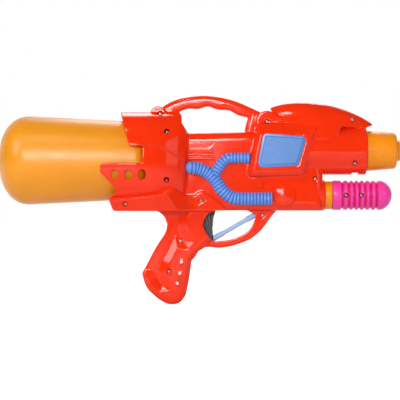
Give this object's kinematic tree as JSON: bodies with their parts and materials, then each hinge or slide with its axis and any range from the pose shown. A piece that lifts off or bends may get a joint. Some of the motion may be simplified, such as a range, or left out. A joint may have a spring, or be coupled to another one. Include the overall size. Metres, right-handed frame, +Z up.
{
  "type": "toy water squirter",
  "caption": "Pump-action toy water gun with a screw-in rear tank, sliding pump handle, pistol grip with trigger and strap, carry handle and round nozzle.",
  "frame": {"origin": "middle of the overall box at the lowest point of the pistol grip", "axes": "+X out of the nozzle, +Z up, Y = 0 is the parting plane of the two body shells and -Y is the side in the picture"},
  "size_m": [0.5, 0.1136, 0.2596],
  "materials": {
    "red_shell": "gloss moulded",
    "blue_moulding": "gloss moulded",
    "blue_window": "satin",
    "steel_screw": "plated",
    "yellow_plastic": "satin",
    "white_valve": "satin",
    "clear_hose": "soft vinyl",
    "blue_elastic": "satin",
    "amber_tank": "translucent blow-moulded",
    "black_rubber": "matte",
    "grey_trigger": "gloss moulded",
    "pink_grip": "satin"
  },
  "bodies": {
    "casing": {"left_shell": "red_shell", "right_shell": "red_shell", "hose_inlay_left": "blue_moulding", "hose_inlay_right": "blue_moulding", "window_left": "blue_window", "window_right": "blue_window", "shell_screw_1": "steel_screw", "shell_screw_2": "steel_screw", "shell_screw_3": "steel_screw", "shell_screw_4": "steel_screw", "shell_screw_5": "steel_screw", "shell_screw_6": "steel_screw", "shell_screw_7": "steel_screw", "shell_screw_8": "steel_screw", "shell_screw_9": "steel_screw", "shell_screw_10": "steel_screw", "shell_screw_11": "steel_screw", "shell_screw_12": "steel_screw", "nozzle_barrel": "yellow_plastic", "nozzle_tip": "yellow_plastic", "pump_cylinder": "white_valve", "pump_end_cap": "yellow_plastic", "check_valve": "white_valve", "tank_socket": "white_valve", "valve_block": "white_valve", "trigger_pin": "steel_screw", "feed_hose": "clear_hose", "delivery_hose": "clear_hose", "air_hose": "clear_hose", "pickup_tube": "clear_hose", "return_strap": "blue_elastic"},
    "tank_neck_seal": {"tank_seal": "black_rubber"},
    "tank": {"water_tank": "amber_tank"},
    "trigger": {"trigger": "grey_trigger"},
    "valve_stem": {"valve_plunger": "white_valve"},
    "pump": {"pump_grip_left": "pink_grip", "pump_grip_right": "pink_grip", "pump_grip_screw_1": "steel_screw", "pump_grip_screw_2": "steel_screw", "pump_rod": "white_valve", "piston": "white_valve", "piston_ring": "black_rubber"}
  },
  "joints": [
    {"name": "pump_slide", "type": "slide", "parent": "casing", "child": "pump", "axis": [1, 0, 0], "range_m": [0, 0.082]},
    {"name": "trigger_pull", "type": "hinge", "parent": "casing", "child": "trigger", "pos_m": [0.0243, 0, 0.122], "axis": [0, 1, 0], "range_deg": [0, 11], "stiffness_Nm_per_rad": 0.4, "springref_deg": -11.46, "deforming": ["return_strap"]},
    {"name": "valve_stroke", "type": "slide", "parent": "casing", "child": "valve_stem", "axis": [1, 0, 0], "range_m": [0, 0.004]},
    {"name": "tank_lift", "type": "slide", "parent": "casing", "child": "tank_neck_seal", "axis": [-1, 0, 0], "range_m": [0, 0.00901]},
    {"name": "tank_turn", "type": "hinge", "parent": "tank_neck_seal", "child": "tank", "pos_m": [-0.061, 0, 0.1789], "axis": [1, 0, 0], "range_deg": [0, 540]}
  ],
  "couplings": [
    {"joint": "valve_stroke", "follows": "trigger_pull", "m_per_rad": 0.02},
    {"joint": "tank_lift", "follows": "tank_turn", "m_per_rad": 0.00095493}
  ]
}
